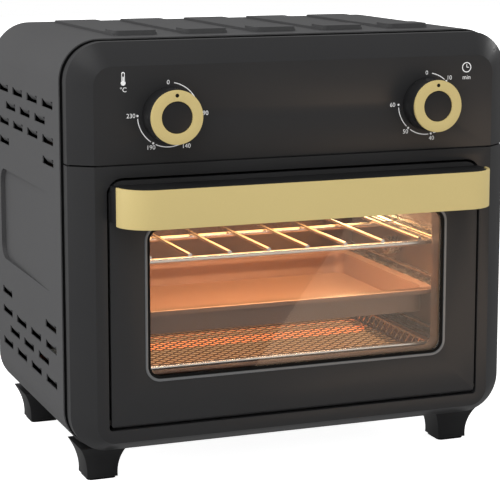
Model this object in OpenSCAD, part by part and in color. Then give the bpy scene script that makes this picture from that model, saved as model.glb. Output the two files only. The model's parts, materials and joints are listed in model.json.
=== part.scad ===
// Countertop oven with a drop-down glass door, three shelf levels, a top fan and a spit drive.
// X runs to the right seen from the front, Y to the back and Z up. Lengths are millimetres.
// Depths called "g" are measured back from the flat front face of the bezel.

/* [Housing] */
// Outside width of the wrap-round housing
body_w = 388; // [372:1:470]
// Outside height of the housing, without the feet
body_h = 333; // [325:1:410]
// Depth from the flat front face to the back edge of the housing
body_d = 250; // [240:1:330]
// Outside radius of the long housing corners
body_r = 33; // [26:1:36]
// Thickness of the housing sheet
sheet = 1; // [0.8:0.1:1.4]
// Height of the feet under the housing
foot_h = 29.5; // [24:0.5:40]

/* [Front bezel] */
// How far the bezel stands inside the housing outline
bezel_inset = 1.5; // [0.5:0.5:4]
// Width of the sloping edge at the sides and the top
slope_w = 18.3; // [8:0.1:20]
// Height of the sloping edge along the bottom
slope_low = 9; // [4:0.5:12]
// Depth over which the edge slopes
slope_d = 14; // [8:0.5:16]
// Depth of the bezel's straight side wall behind the slope
bezel_side = 10; // [8:0.5:14]
// Wall thickness of the bezel mouldings
bezel_wall = 2.6; // [2:0.1:3]
// Dark gap between the bezel and the housing
bezel_gap = 6; // [4:0.5:8]
// Height of the control panel above the parting groove
panel_h = 96; // [88:1:130]
// Width of the parting groove
groove = 1.2; // [0.8:0.1:2]

/* [Door] */
// Width of the door
door_w = 324.5; // [315:0.5:328]
// Height of the door
door_h = 200.4; // [196:0.2:203]
// Thickness of the door
door_t = 20; // [18:0.5:20]
// Gap round the door
door_gap = 2.2; // [1.8:0.1:3]
// Height of the door's bottom edge above the bezel's bottom edge
door_sill = 21.3; // [20:0.1:26]
// Radius of the door's top corners
door_r = 11; // [8:1:14]
// Angle at which the open door stops
door_open = 90; // [80:1:90]
// Radius of the hinge pins
pin_r = 2.5; // [2:0.1:3]

/* [Window] */
// Width of the window trim, outside
window_w = 267.6; // [240:0.2:275]
// Height of the window trim, outside
window_h = 128.4; // [110:0.2:134]
// Height of the trim's bottom edge above the door's bottom edge
window_up = 35.5; // [30:0.5:40]
// Outside corner radius of the trim
window_r = 13; // [9:0.5:18]
// Width of the bright trim line
trim_w = 2.2; // [1.6:0.1:3]
// Width of the dark gasket inside the trim
gasket_w = 2.3; // [1.6:0.1:3]

/* [Handle] */
// Width of the handle
handle_w = 324; // [280:1:326]
// How far the handle stands out from the front face
handle_out = 42; // [34:1:50]
// Height of the handle band
handle_h = 31; // [24:1:34]
// Distance from the door's top edge down to the band's top edge
handle_drop = 2.5; // [2:0.5:10]
// Plan radius at the ends of the handle
handle_r = 27; // [18:1:30]
// Distance of the band's ends from the front face
band_stop = 16; // [10:1:22]
// Thickness of the band
band_t = 2.5; // [1.5:0.1:3]

/* [Knobs] */
// Radius of a knob
knob_r = 21.7; // [18:0.1:24]
// How far a knob stands out from the front face
knob_out = 22; // [18:0.5:26]
// Distance of a knob's centre from the middle
knob_x = 113; // [90:1:125]
// Distance of a knob's centre below the bezel's top edge
knob_down = 57.6; // [50:0.2:64]
// Inside radius of the face ring on a knob
ring_r = 12.7; // [10:0.1:15]
// Thickness of the face ring on a knob
ring_t = 2.4; // [1.6:0.1:3]
// Radius of a control shaft
shaft_r = 3; // [2.5:0.1:3.5]

/* [Oven space] */
// Inside width of the oven space
cavity_w = 300; // [296:1:302]
// Inside depth of the oven space, behind the front frame
cavity_d = 206; // [200:1:280]
// Height of the oven floor above the bezel's bottom edge
floor_up = 30; // [29:0.5:32]
// Height of the oven roof above the bezel's bottom edge
roof_up = 228; // [224:1:230]
// Height of the door opening's top edge above the bezel's bottom edge
mouth_up = 213; // [205:1:214]
// Radius of a heating rod
rod_r = 3.25; // [3:0.05:3.5]
// Height of the upper heating rods above the bezel's bottom edge
upper_rod_up = 203; // [198:1:205]
// Height of the lower heating rods above the bezel's bottom edge
lower_rod_up = 39.5; // [39:0.1:40]

/* [Shelves] */
// Height of the wire rack's frame above the bezel's bottom edge
rack_up = 150; // [145:1:160]
// Width of the wire rack
rack_w = 292; // [286:1:293]
// Height of the baking tray's rim above the bezel's bottom edge
tray_up = 108.5; // [104:0.5:115]
// Depth of the baking tray
tray_deep = 20.5; // [16:0.5:24]
// Width of the baking tray over its rim
tray_w = 280; // [276:1:284]
// Height of the basket's frame above the bezel's bottom edge
basket_up = 61; // [59:0.5:66]
// Depth of the frying basket below its frame
basket_deep = 14; // [10:0.5:14]
// Width of the frying basket over its frame
basket_w = 278; // [276:1:284]
// Wire radius of the frames
wire_r = 2.2; // [1.8:0.1:2.6]
// Wire radius of the bars and the mesh edge
bar_r = 1.7; // [1.4:0.1:2]
// Number of bars in the wire rack
rack_bars = 8; // [6:1:10]
// Width of a shelf guide's ledge
ledge_w = 14; // [12:0.5:14.5]

/* [Vents and ribs] */
// Length of a side louvre
louvre_l = 33.5; // [24:0.5:36]
// Height of a side louvre
louvre_h = 6.4; // [4:0.2:7]
// Distance between louvre columns
louvre_pitch = 49.5; // [44:0.5:52]
// Number of raised ribs on the roof
rib_count = 5; // [3:1:5]
// Distance between ribs
rib_pitch = 61; // [50:1:64]
// Width of a rib
rib_w = 38.3; // [30:0.1:42]
// Height of a rib
rib_h = 2; // [1:0.5:3]
// Height of the pad at the front end of a rib
pad_h = 4; // [3:0.5:6]
// Greatest depth of the grips pressed into the sides
grip_deep = 4; // [2:0.5:6]

/* [Hidden] */
$fn = 64;
e = 0.01;
run_fit = 0.05;
seat_gap = 0.3;

// Overall places
spacer_t = 12;
front_y = -(body_d + spacer_t - handle_out) / 2;
z0 = foot_h + bezel_inset;
bezel_w = body_w - 2 * bezel_inset;
bezel_h = body_h - 2 * bezel_inset;
bezel_r = body_r - bezel_inset;
bezel_top = z0 + bezel_h;
bezel_back = slope_d + bezel_side;
groove_z = bezel_top - panel_h;
tongue_x = bezel_w / 2 - slope_w - 3;
housing_g = bezel_back + bezel_gap;
housing_top = foot_h + body_h;
housing_mid = foot_h + body_h / 2;
in_w = body_w / 2 - sheet;

// Front frame
frame_t = 1.2;
frame_inset = 4.5;
frame_lip = 14;
frame_step = 2;
frame_back = bezel_back + frame_t;

// Door
door_z = z0 + door_sill;
door_top = door_z + door_h;
door_mid = door_z + door_h / 2;
opening_w = door_w + 2 * door_gap;
opening_top = door_top + door_gap;
opening_low = door_z - 2;
door_wall = 3;
door_corner = 3;
door_edge = 2;
hinge_g = 5.5;
hinge_z = door_z + 4.2;
pin_in = 12;
pin_out = 8;
pin_boss_r = 5;
seal_t = 3.6;
seal_w = 5;
liner_t = 1;

// Window
window_z = door_z + window_up;
trim_front = 0.6;
glass_t = 4;
glass_g = 1.2;
clip_w = 3;

// Handle
band_top = door_top - handle_drop;
band_low = band_top - handle_h;
plate_t = 3;
plate_set = 1;
rim_t = 3;
handle_boss = 14;
screw_r = 2;
handle_screw_x = door_w / 2 - 14;

// Knobs and controls
knob_z = bezel_top - knob_down;
knob_lift = 1;
shaft_tip = 16;
dot_r = 1.2;
bush_r = 4.5;
bush_l = 12;
control_w = 38;
control_d = 24;

// Oven space
floor_z = z0 + floor_up;
roof_z = z0 + roof_up;
mouth_z = z0 + mouth_up;
cavity_x = cavity_w / 2;
cavity_back_g = frame_back + cavity_d;
mid_g = (frame_back + cavity_back_g) / 2;
rod_spread = 54;
rod_over = 20;
wall_hole = 4.6;

// Fan
fan_r = 58;
fan_t = 9;
blade_count = 9;
grille_r = 72;
grille_drop = 16;
motor_r = 31;
motor_h = 36;
motor_up = 8;

// Spit drive and lamp
spit_z = z0 + 129;
spit_g = mid_g;
socket_r = 8;
socket_l = 12;
socket_hole = 8.4;
lamp_z = z0 + 180;
lamp_g = cavity_back_g - 24;
lamp_r = 15;

// Shelves
shelf_g = frame_back + 2.8;
shelf_d = cavity_d - 10;
bend_r = 8;
tray_t = 0.8;
tray_lip = 9;
tray_rim = 3.5;
tray_slope = 6;
basket_rim = 7;
basket_t = 1;
ledge_t = 1;
guide_gap = 9;
crumb_h = 4.6;
crumb_t = 0.8;
crumb_grip = 9;

// Louvres and ribs
louvre_g = 65.6;
louvre_rows = [52.7, 67.3, 82, 99.5];
louvre_flap = 0.8;
rib_g = 56;
rib_back = 14;
pad_d = 27;
grip_g = 64;
grip_back = 18;
grip_h = 81.5;
grip_down = 125.5;
grip_r = 14;

// Back and base
cover_t = 1.2;
cover_gap = 0.4;
cover_lip = 9;
gland_r = 9;
flange_x = 122;
base_overlap = 10;
base_t = 1.2;

// Feet
foot_top = 40.8;
foot_low = 26.4;
foot_x = 160.4;
foot_g = 48.4;
foot_back = 31;
foot_pad = 1.6;
foot_sag = 2.4;

// ---------------------------------------------------------------- drawing planes

// A flat drawing in X and Z, pulled from depth g to depth g + t.
module upright(g, t) {
    translate([0, front_y + g + t, 0])
        rotate([90, 0, 0])
            linear_extrude(t) children();
}

// A flat drawing in depth and Z, pulled from x to x + t.
module sideways(x, t) {
    translate([x, front_y, 0])
        rotate([90, 0, 90])
            linear_extrude(t) children();
}

// A flat drawing in X and depth, pulled from z to z + t.
module level(z, t) {
    translate([0, front_y, z])
        linear_extrude(t) children();
}

// A box from its low corner to its high corner, depths measured from the front face.
module block(low, high) {
    translate([low[0], front_y + low[1], low[2]])
        cube([high[0] - low[0], high[1] - low[1], high[2] - low[2]]);
}

// A round bar along X, Y or Z from one end, centred on a point given in X, depth and Z.
module bar_x(x, g, z, r, l) {
    translate([x, front_y + g, z]) rotate([0, 90, 0]) cylinder(r = r, h = l);
}

module bar_y(x, g, z, r, l) {
    translate([x, front_y + g, z]) rotate([-90, 0, 0]) cylinder(r = r, h = l);
}

module bar_z(x, g, z, r, l) {
    translate([x, front_y + g, z]) cylinder(r = r, h = l);
}

// A rectangle with its own corner radius at the low and the high end of its second axis.
module rounded(low, high, r_low, r_high) {
    width = high[0] - low[0];
    translate([low[0], low[1] + r_low]) square([width, high[1] - low[1] - r_low - r_high]);
    translate([low[0] + r_low, low[1]]) square([width - 2 * r_low, r_low + e]);
    translate([low[0] + r_high, high[1] - r_high - e]) square([width - 2 * r_high, r_high + e]);
    for (x = [low[0] + r_low, high[0] - r_low]) translate([x, low[1] + r_low]) circle(r_low);
    for (x = [low[0] + r_high, high[0] - r_high]) translate([x, high[1] - r_high]) circle(r_high);
}

// The body's outline drawn in by some distance.
module body_outline(inset) {
    rounded([-body_w / 2 + inset, foot_h + inset], [body_w / 2 - inset, housing_top - inset],
        body_r - inset, body_r - inset);
}

module both_sides() {
    children();
    mirror([1, 0, 0]) children();
}

// ---------------------------------------------------------------- front mouldings

// The solid under the sloping bezel skin, drawn in by the wall thickness when inset is set.
module bezel_solid(inset) {
    face_x = bezel_w / 2 - slope_w - inset * 0.6;
    hull() {
        upright(inset, e) rounded([-face_x, z0 + slope_low + inset * 0.6],
            [face_x, bezel_top - slope_w - inset * 0.6], bezel_r - slope_w + 2, bezel_r - slope_w + 2);
        upright(slope_d, bezel_side + inset) body_outline(bezel_inset + inset);
    }
}

module bezel_shell() {
    difference() {
        bezel_solid(0);
        bezel_solid(bezel_wall);
    }
}

module control_panel() {
    color("#333333") difference() {
        intersection() {
            bezel_shell();
            block([-body_w, -1, groove_z + groove / 2], [body_w, body_d, housing_top]);
        }
        for (x = [-knob_x, knob_x]) bar_y(x, -1, knob_z, bush_r + 0.5, bezel_wall + 2);
    }
}

// The frame round the door, with a return wall behind the opening and the hinge bosses.
module door_surround() {
    low = [-opening_w / 2, opening_low];
    high = [opening_w / 2, opening_top];
    wall = bezel_wall;
    color("#333333") difference() {
        union() {
            intersection() {
                bezel_shell();
                block([-body_w, -1, 0], [body_w, body_d, groove_z - groove / 2]);
            }
            upright(bezel_wall, bezel_back - bezel_wall)
                rounded([low[0] - wall, low[1] - wall], [high[0] + wall, high[1] + wall],
                    door_corner + wall, door_r + door_gap + wall);
            both_sides() bar_x(opening_w / 2, hinge_g, hinge_z, pin_boss_r, pin_out);
            block([-tongue_x, bezel_wall, groove_z - 4], [tongue_x, bezel_wall + 2, groove_z + 4]);
        }
        upright(-1, bezel_back + 2) rounded(low, high, door_corner, door_r + door_gap);
        both_sides() bar_x(opening_w / 2 - 1, hinge_g, hinge_z, pin_r + run_fit, pin_out + 2);
    }
}

// The folded steel frame behind the mouldings: it carries the oven space and the controls.
module front_frame() {
    step_g = housing_g + 1;
    color("#151515") difference() {
        union() {
            upright(bezel_back, frame_t) body_outline(bezel_inset + frame_inset);
            upright(frame_back, step_g - frame_back + frame_step) difference() {
                body_outline(bezel_inset + frame_inset);
                body_outline(bezel_inset + frame_inset + frame_t);
            }
            upright(step_g, frame_step) difference() {
                body_outline(sheet + seat_gap);
                body_outline(bezel_inset + frame_inset + frame_t);
            }
            upright(step_g, frame_lip) difference() {
                body_outline(sheet + seat_gap);
                body_outline(sheet + seat_gap + frame_t);
            }
        }
        upright(bezel_back - 1, frame_t + 2)
            rounded([-cavity_x, floor_z], [cavity_x, mouth_z], 2, 4);
        for (x = [-knob_x, knob_x]) bar_y(x, bezel_back - 1, knob_z, bush_r + 0.1, frame_t + 2);
    }
}

// ---------------------------------------------------------------- housing

// Louvre places: column number and row for one half of the pattern.
full_columns = [0, 1, 2, 3];
between_columns = [0.5, 1.5, 2.5];
end_columns = [0, 3];
row_columns = [full_columns, between_columns, full_columns, end_columns];
louvre_places = [for (row = [0 : 3]) for (column = row_columns[row])
    for (z = [housing_top - bezel_inset - louvre_rows[row], foot_h + louvre_rows[row] - 4])
        [louvre_g + column * louvre_pitch, z]];

module louvre_cut(g, z) {
    block([-body_w / 2 - 1, g - louvre_l / 2, z - louvre_h / 2],
        [-body_w / 2 + sheet + 1, g + louvre_l / 2, z + louvre_h / 2]);
}

// The flap bent inwards from the upper edge of a louvre, shorter than the slot at both ends.
module louvre_tongue(g, z) {
    x = -body_w / 2;
    top = z + louvre_h / 2;
    drop = louvre_h * 0.75;
    reach = 4;
    translate([0, front_y + g + louvre_l * 0.34, 0])
        rotate([90, 0, 0])
            linear_extrude(louvre_l * 0.68)
                polygon([[x, top + 0.5], [x + sheet, top + 0.5], [x + sheet, top - 0.5],
                    [x + reach, top - drop], [x + reach - louvre_flap, top - drop], [x, top - 0.8]]);
}

// The wedge that a grip takes out of a side, and the pan behind it when grown by the sheet.
module grip_wedge(grow) {
    back = body_d - grip_back + grow;
    low = housing_top - bezel_inset - grip_down - grip_h - grow;
    x = -body_w / 2;
    intersection() {
        level(low, grip_h + 2 * grow)
            polygon([[x - 1, grip_g - grow], [x + grow, grip_g - grow], [x + grip_deep + grow, back],
                [x - 1, back]]);
        sideways(x - 2, grip_deep + grow + 3) rounded_back(grip_g - grow - 1, back, low,
            low + grip_h + 2 * grow, grip_r + grow);
    }
}

// A rectangle in depth and Z with its two rear corners rounded.
module rounded_back(near, far, low, high, r) {
    translate([near, low]) square([far - near - r, high - low]);
    translate([near + r, low + r]) square([far - near - r, high - low - 2 * r]);
    for (z = [low + r, high - r]) translate([far - r, z]) circle(r);
}

module grip_pan() {
    difference() {
        grip_wedge(sheet);
        block([-body_w, -1, 0], [-body_w / 2, body_d + 1, housing_top]);
    }
}

// One raised roof rib, with the higher pad at its front end.
module roof_rib(x) {
    level(housing_top - e, rib_h + e)
        translate([x, 0]) rounded([-rib_w / 2, rib_g], [rib_w / 2, body_d - rib_back], 3, 3);
    level(housing_top - e, pad_h + e)
        translate([x, 0]) rounded([-rib_w / 2 + 1, rib_g - 1], [rib_w / 2 - 1, rib_g + pad_d], 4, 4);
}

module outer_housing() {
    color("#505052") difference() {
        union() {
            upright(housing_g, body_d - housing_g) difference() {
                body_outline(0);
                body_outline(sheet);
            }
            both_sides() grip_pan();
            for (i = [0 : rib_count - 1]) roof_rib((i - (rib_count - 1) / 2) * rib_pitch);
            both_sides() for (p = louvre_places) louvre_tongue(p[0], p[1]);
        }
        both_sides() {
            grip_wedge(0);
            for (p = louvre_places) difference() {
                louvre_cut(p[0], p[1]);
                louvre_tongue(p[0], p[1]);
            }
        }
        block([-flange_x, -1, foot_h - 1], [flange_x, body_d + 1, foot_h + sheet + 1]);
        for (p = foot_places) bar_z(p[0], p[1], foot_h - 1, screw_r + 0.2, sheet + 2);
    }
}

module base_plate() {
    x = flange_x + base_overlap;
    low = housing_g + frame_lip + frame_step;
    high = body_d - cover_lip - 2;
    color("#2b2b2c") difference() {
        union() {
            block([-x, low, foot_h + sheet], [x, high, foot_h + sheet + base_t]);
            for (g = [low + 40, high - 50]) block([-x + 20, g, foot_h + sheet + base_t - e],
                [x - 20, g + 10, foot_h + sheet + base_t + 3]);
        }
        for (i = [-4 : 4]) for (g = [low + 70, high - 70])
            block([i * 24 - 7, g - 3, foot_h], [i * 24 + 7, g + 3, foot_h + 8]);
    }
}

// ---------------------------------------------------------------- back

cover_inset = sheet + cover_gap;
cover_screw_places = [for (z = [foot_h + 40, housing_mid, housing_top - 40])
    for (x = [-(in_w - 14), in_w - 14]) [x, z]];
crumb_slot = [cavity_x - 4, floor_z - 0.2, floor_z + crumb_h + 0.6];

module rear_cover() {
    color("#3a3a3b") difference() {
        union() {
            upright(body_d - cover_t, cover_t) body_outline(cover_inset);
            upright(body_d - cover_lip, cover_lip) difference() {
                body_outline(cover_inset);
                body_outline(cover_inset + cover_t);
            }
        }
        for (row = [0 : 5]) for (i = [-5 : 5])
            upright(body_d - cover_t - 1, cover_t + 2)
                translate([i * 18, housing_top - 44 - row * 11])
                    rounded([-6, -2], [6, 2], 1.9, 1.9);
        block([-crumb_slot[0], body_d - cover_t - 1, crumb_slot[1]], [crumb_slot[0], body_d + 1, crumb_slot[2]]);
        bar_y(gland_x, body_d - cover_t - 1, gland_z, gland_r - 2, cover_t + 2);
        for (p = cover_screw_places) bar_y(p[0], body_d - cover_t - 1, p[1], screw_r + 0.1, cover_t + 2);
        for (p = spacer_places) bar_y(p[0], body_d - cover_t - 1, p[1], screw_r + 0.1, cover_t + 2);
    }
}

gland_x = -130;
gland_z = foot_h + 62;
spacer_places = [for (x = [-140, 140]) [x, housing_top - 36]];

module rear_spacers() {
    color("#1c1c1c") for (p = spacer_places) {
        bar_y(p[0], body_d, p[1], 12, spacer_t - 3);
        bar_y(p[0], body_d + spacer_t - 3 - e, p[1], 10, 3 + e);
        bar_y(p[0], body_d - cover_t - 3, p[1], screw_r, cover_t + 3 + e);
    }
}

module cord_gland() {
    color("#1c1c1c") difference() {
        union() {
            bar_y(gland_x, body_d, gland_z, gland_r, 4);
            bar_y(gland_x, body_d - cover_t - 5, gland_z, gland_r - 2.05, cover_t + 5 + e);
            bar_y(gland_x, body_d - cover_t - 5, gland_z, gland_r, 5);
        }
        bar_y(gland_x, body_d - cover_t - 6, gland_z, 3.6, cover_t + 12);
    }
}

module cover_screws() {
    color("#8a8a8c") for (p = cover_screw_places) difference() {
        union() {
            bar_y(p[0], body_d, p[1], 3.8, 1.8);
            bar_y(p[0], body_d - 8, p[1], screw_r, 8 + e);
        }
        block([p[0] - 2.4, body_d + 1, p[1] - 0.4], [p[0] + 2.4, body_d + 2, p[1] + 0.4]);
        block([p[0] - 0.4, body_d + 1, p[1] - 2.4], [p[0] + 0.4, body_d + 2, p[1] + 2.4]);
    }
}

// ---------------------------------------------------------------- oven space

rod_places = [for (side = [-1, 1]) for (z = [z0 + upper_rod_up, z0 + lower_rod_up])
    [mid_g + side * rod_spread, z]];

// One side wall of the oven space at its inner face, drawn on the right.
module side_wall() {
    difference() {
        block([cavity_x, frame_back, floor_z - sheet], [cavity_x + sheet, cavity_back_g + sheet, roof_z + sheet]);
        for (p = rod_places) bar_x(cavity_x - 1, p[0], p[1], wall_hole, sheet + 2);
    }
}

module cavity_left_wall() {
    color("#8d8f90") mirror([1, 0, 0]) side_wall();
}

module cavity_right_wall() {
    color("#8d8f90") difference() {
        side_wall();
        bar_x(cavity_x - 1, spit_g, spit_z, wall_hole, sheet + 2);
        bar_x(cavity_x - 1, lamp_g, lamp_z, lamp_r - 2, sheet + 2);
    }
}

module cavity_roof() {
    color("#8d8f90") difference() {
        block([-cavity_x, frame_back, roof_z], [cavity_x, cavity_back_g + sheet, roof_z + sheet]);
        bar_z(0, mid_g, roof_z - 1, 6, sheet + 2);
    }
}

module cavity_back() {
    color("#8d8f90") difference() {
        block([-cavity_x, cavity_back_g, floor_z - sheet], [cavity_x, cavity_back_g + sheet, roof_z]);
        block([-crumb_slot[0], cavity_back_g - 1, crumb_slot[1]],
            [crumb_slot[0], cavity_back_g + sheet + 1, crumb_slot[2]]);
    }
}

module cavity_floor() {
    color("#8d8f90") union() {
        block([-cavity_x, frame_back, floor_z - sheet], [cavity_x, cavity_back_g, floor_z]);
        for (x = [-cavity_x + 30, cavity_x - 40]) block([x, frame_back + 20, foot_h + sheet + base_t + 3],
            [x + 10, cavity_back_g - 10, floor_z - sheet + e]);
    }
}

// Channels that carry the shelves on the left wall: a wide ledge below and a short one above.
shelf_rests = [z0 + rack_up - wire_r, z0 + tray_up - tray_rim, z0 + basket_up - wire_r];

module shelf_guides() {
    near = frame_back + 4;
    far = cavity_back_g - 2;
    for (rest = shelf_rests) {
        low = rest - seat_gap - ledge_t;
        union() {
            block([-cavity_x, near, low], [-cavity_x + ledge_t, far, low + guide_gap + 2 * ledge_t]);
            block([-cavity_x, near, low], [-cavity_x + ledge_w, far, low + ledge_t]);
            block([-cavity_x, near, low + guide_gap + ledge_t],
                [-cavity_x + ledge_w / 3, far, low + guide_gap + 2 * ledge_t]);
        }
    }
}

module shelf_guides_left() {
    color("#a5a7a8") shelf_guides();
}

module shelf_guides_right() {
    color("#a5a7a8") mirror([1, 0, 0]) shelf_guides();
}

// A pair of straight heating rods with their flat tabs.
module heating_rods(z) {
    x = cavity_x + sheet + rod_over;
    for (side = [-1, 1]) {
        bar_x(-x, mid_g + side * rod_spread, z, rod_r, 2 * x);
        both_sides() block([x - e, mid_g + side * rod_spread - 2.5, z - 0.5],
            [x + 7, mid_g + side * rod_spread + 2.5, z + 0.5]);
    }
}

module upper_heating_rods() {
    color("#ff7a33") heating_rods(z0 + upper_rod_up);
}

module lower_heating_rods() {
    color("#ff7a33") heating_rods(z0 + lower_rod_up);
}

module rod_insulators() {
    x = cavity_x + sheet;
    color("#ece8df") both_sides() for (p = rod_places) difference() {
        union() {
            bar_x(x - sheet, p[0], p[1], wall_hole - run_fit, sheet + 1);
            bar_x(x, p[0], p[1], 8, 3);
            bar_x(x, p[0], p[1], 6, 14);
        }
        bar_x(x - sheet - 1, p[0], p[1], rod_r + run_fit, 18);
    }
}

// ---------------------------------------------------------------- fan

module fan_impeller() {
    top = roof_z - 3;
    color("#b8babb") union() {
        bar_z(0, mid_g, top - 1.2, fan_r, 1.2);
        bar_z(0, mid_g, top - fan_t, 8, fan_t);
        bar_z(0, mid_g, top - e, shaft_r, motor_up + motor_h);
        translate([0, front_y + mid_g, top - fan_t]) for (i = [0 : blade_count - 1])
            rotate([0, 0, i * 360 / blade_count])
                translate([16, -0.5, 0]) cube([fan_r - 17, 1, fan_t - 1]);
    }
}

module fan_motor() {
    low = roof_z + sheet + motor_up;
    color("#77797a") difference() {
        union() {
            bar_z(0, mid_g, low, motor_r, motor_h);
            bar_z(0, mid_g, low + motor_h - e, 12, 6);
            for (a = [45 : 90 : 315]) translate([0, front_y + mid_g, roof_z + sheet])
                rotate([0, 0, a]) translate([motor_r - 6, -4, 0]) cube([12, 8, motor_up + 6]);
        }
        bar_z(0, mid_g, low - 1, shaft_r + run_fit, motor_h + 10);
    }
}

module fan_grille() {
    low = roof_z - grille_drop;
    color("#9fa1a2") difference() {
        bar_z(0, mid_g, low, grille_r, grille_drop);
        bar_z(0, mid_g, low + 1, grille_r - 1, grille_drop);
        translate([0, front_y + mid_g, low - 1]) for (i = [0 : 11]) rotate([0, 0, i * 30]) {
            translate([14, -2, 0]) cube([22, 4, 3]);
            rotate([0, 0, 15]) translate([42, -2.5, 0]) cube([22, 5, 3]);
            translate([44, -2.5, 0]) cube([20, 5, 3]);
        }
    }
}

// ---------------------------------------------------------------- lamp, spit drive and electrics

module lamp_holder() {
    x = cavity_x + sheet;
    color("#ece8df") difference() {
        union() {
            bar_x(x, lamp_g, lamp_z, lamp_r, 3);
            bar_x(x + 2, lamp_g, lamp_z, 11, 22);
        }
        bar_x(x - 1, lamp_g, lamp_z, 7.1, 20);
    }
}

module lamp_bulb() {
    color("#fff1cf") translate([cavity_x + sheet - 4, front_y + lamp_g, lamp_z])
        rotate([0, 90, 0]) rotate_extrude() intersection() {
            union() {
                circle(8);
                translate([-7, 0]) square([14, 23]);
            }
            translate([0, -20]) square([20, 60]);
        }
}

module lamp_cover() {
    color("#f2f2f2") difference() {
        bar_x(cavity_x - 13, lamp_g, lamp_z, lamp_r, 13);
        bar_x(cavity_x - 11.5, lamp_g, lamp_z, lamp_r - 1.5, 13);
    }
}

// The body of a rotary control, behind the front frame, with its bush through the frame.
module rotary_control(x) {
    difference() {
        union() {
            block([x - control_w / 2, frame_back, knob_z - control_w / 2],
                [x + control_w / 2, frame_back + control_d, knob_z + control_w / 2]);
            bar_y(x, frame_back - bush_l, knob_z, bush_r, bush_l + e);
        }
        bar_y(x, frame_back - bush_l - 1, knob_z, shaft_r + run_fit, bush_l + 10 + 1);
    }
}

module thermostat() {
    color("#8f8a80") union() {
        rotary_control(-knob_x);
        bar_y(-knob_x, frame_back + control_d - e, knob_z, 12, 8);
    }
}

module timer() {
    color("#9a9c9d") union() {
        rotary_control(knob_x);
        bar_y(knob_x, frame_back + control_d - e, knob_z, 26, 16);
    }
}

// A control shaft from inside its control to inside the knob.
module control_shaft(x) {
    bar_y(x, -shaft_tip, knob_z, shaft_r, shaft_tip + frame_back + 8);
}

module thermostat_shaft() {
    color("#b9bbbc") control_shaft(-knob_x);
}

module timer_shaft() {
    color("#b9bbbc") control_shaft(knob_x);
}

module thermal_cutoff() {
    color("#c9b48a") union() {
        bar_z(-95, mid_g + 50, roof_z + sheet, 8, 9);
        block([-95 - 16, mid_g + 46, roof_z + sheet], [-95 + 16, mid_g + 54, roof_z + sheet + 1]);
    }
}

module terminal_block() {
    color("#e6e2d6") difference() {
        block([60, mid_g + 55, roof_z + sheet], [108, mid_g + 75, roof_z + sheet + 18]);
        for (i = [0 : 3]) bar_z(66 + i * 12, mid_g + 65, roof_z + sheet + 8, 2.6, 12);
    }
}

module spit_motor() {
    x = cavity_x + sheet;
    color("#77797a") difference() {
        union() {
            block([x, spit_g - 25, spit_z - 25], [x + 14, spit_g + 25, spit_z + 25]);
            bar_x(x + 14 - e, spit_g, spit_z, 22, 14);
        }
        bar_x(x - 1, spit_g, spit_z, shaft_r + run_fit, 24);
        bar_x(x - 1, spit_g, spit_z, wall_hole, 3);
    }
}

// The turning socket that takes the square end of a spit.
module spit_drive_socket() {
    x = cavity_x;
    h = socket_hole / 2;
    color("#a5a7a8") difference() {
        union() {
            bar_x(x - socket_l - 1, spit_g, spit_z, socket_r, socket_l);
            bar_x(x - 1 - e, spit_g, spit_z, wall_hole - 0.6, sheet + 2);
            bar_x(x, spit_g, spit_z, shaft_r, sheet + 20);
        }
        block([x - socket_l - 2, spit_g - h, spit_z - h], [x - 3, spit_g + h, spit_z + h]);
    }
}

// The open notch on the left wall that takes the other end of a spit.
module spit_bracket() {
    x = -cavity_x;
    color("#a5a7a8") difference() {
        union() {
            sideways(x, 1.2) rounded([spit_g - 16, spit_z - 10], [spit_g + 16, spit_z + 10], 3, 3);
            sideways(x + 1.2 - e, 6) rounded([spit_g - 9, spit_z - 9], [spit_g + 9, spit_z + 7], 3, 1);
        }
        bar_x(x + 1.2, spit_g, spit_z, 4.5, 12);
        block([x + 1.2, spit_g - 4.5, spit_z], [x + 12, spit_g + 4.5, spit_z + 20]);
    }
}

// ---------------------------------------------------------------- feet

foot_places = [for (g = [foot_g, body_d - foot_back + 13]) for (x = [-foot_x, foot_x]) [x, g]];

// The centre of the arc that hollows a flank from half width a at height h to half width b at 0.
function arc_r(a, b, h, sag) = (pow(a - b, 2) + h * h) / (8 * sag) + sag / 2;
function arc_at(a, b, h, sag) = let (c = sqrt(pow(a - b, 2) + h * h), r = arc_r(a, b, h, sag) - sag)
    [(a + b) / 2 + r * h / c, h / 2 - r * (a - b) / c];

// A leg, square in plan, with all four flanks hollowed.
module leg(p) {
    h = foot_h - foot_pad;
    a = foot_top / 2;
    b = foot_low / 2;
    middle = arc_at(a, b, h, foot_sag);
    r = arc_r(a, b, h, foot_sag);
    color("#2a2a2a") translate([p[0], front_y + p[1], foot_pad]) difference() {
        translate([-a, -a, 0]) cube([2 * a, 2 * a, h]);
        for (turn = [0 : 90 : 270]) rotate([0, 0, turn])
            translate([middle[0], 2 * a, middle[1]]) rotate([90, 0, 0]) cylinder(r = r, h = 4 * a, $fn = 128);
        translate([0, 0, -1]) cylinder(r = 6, h = h - 5);
        cylinder(r = screw_r + 0.2, h = h + 1);
    }
}

module foot_front_left() {
    leg(foot_places[0]);
}

module foot_front_right() {
    leg(foot_places[1]);
}

module foot_rear_left() {
    leg(foot_places[2]);
}

module foot_rear_right() {
    leg(foot_places[3]);
}

module foot_pads() {
    a = foot_low / 2 - 1;
    color("#141414") for (p = foot_places) union() {
        level(0, foot_pad) translate(p) rounded([-a, -a], [a, a], 4, 4);
        bar_z(p[0], p[1], foot_pad - e, 5.8, 2);
    }
}

module foot_screws() {
    low = foot_h - 6;
    color("#8a8a8c") for (p = foot_places) union() {
        bar_z(p[0], p[1], low - 2.5, 4.5, 2.5);
        bar_z(p[0], p[1], low - e, screw_r, 14);
    }
}

// ---------------------------------------------------------------- door

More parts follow.
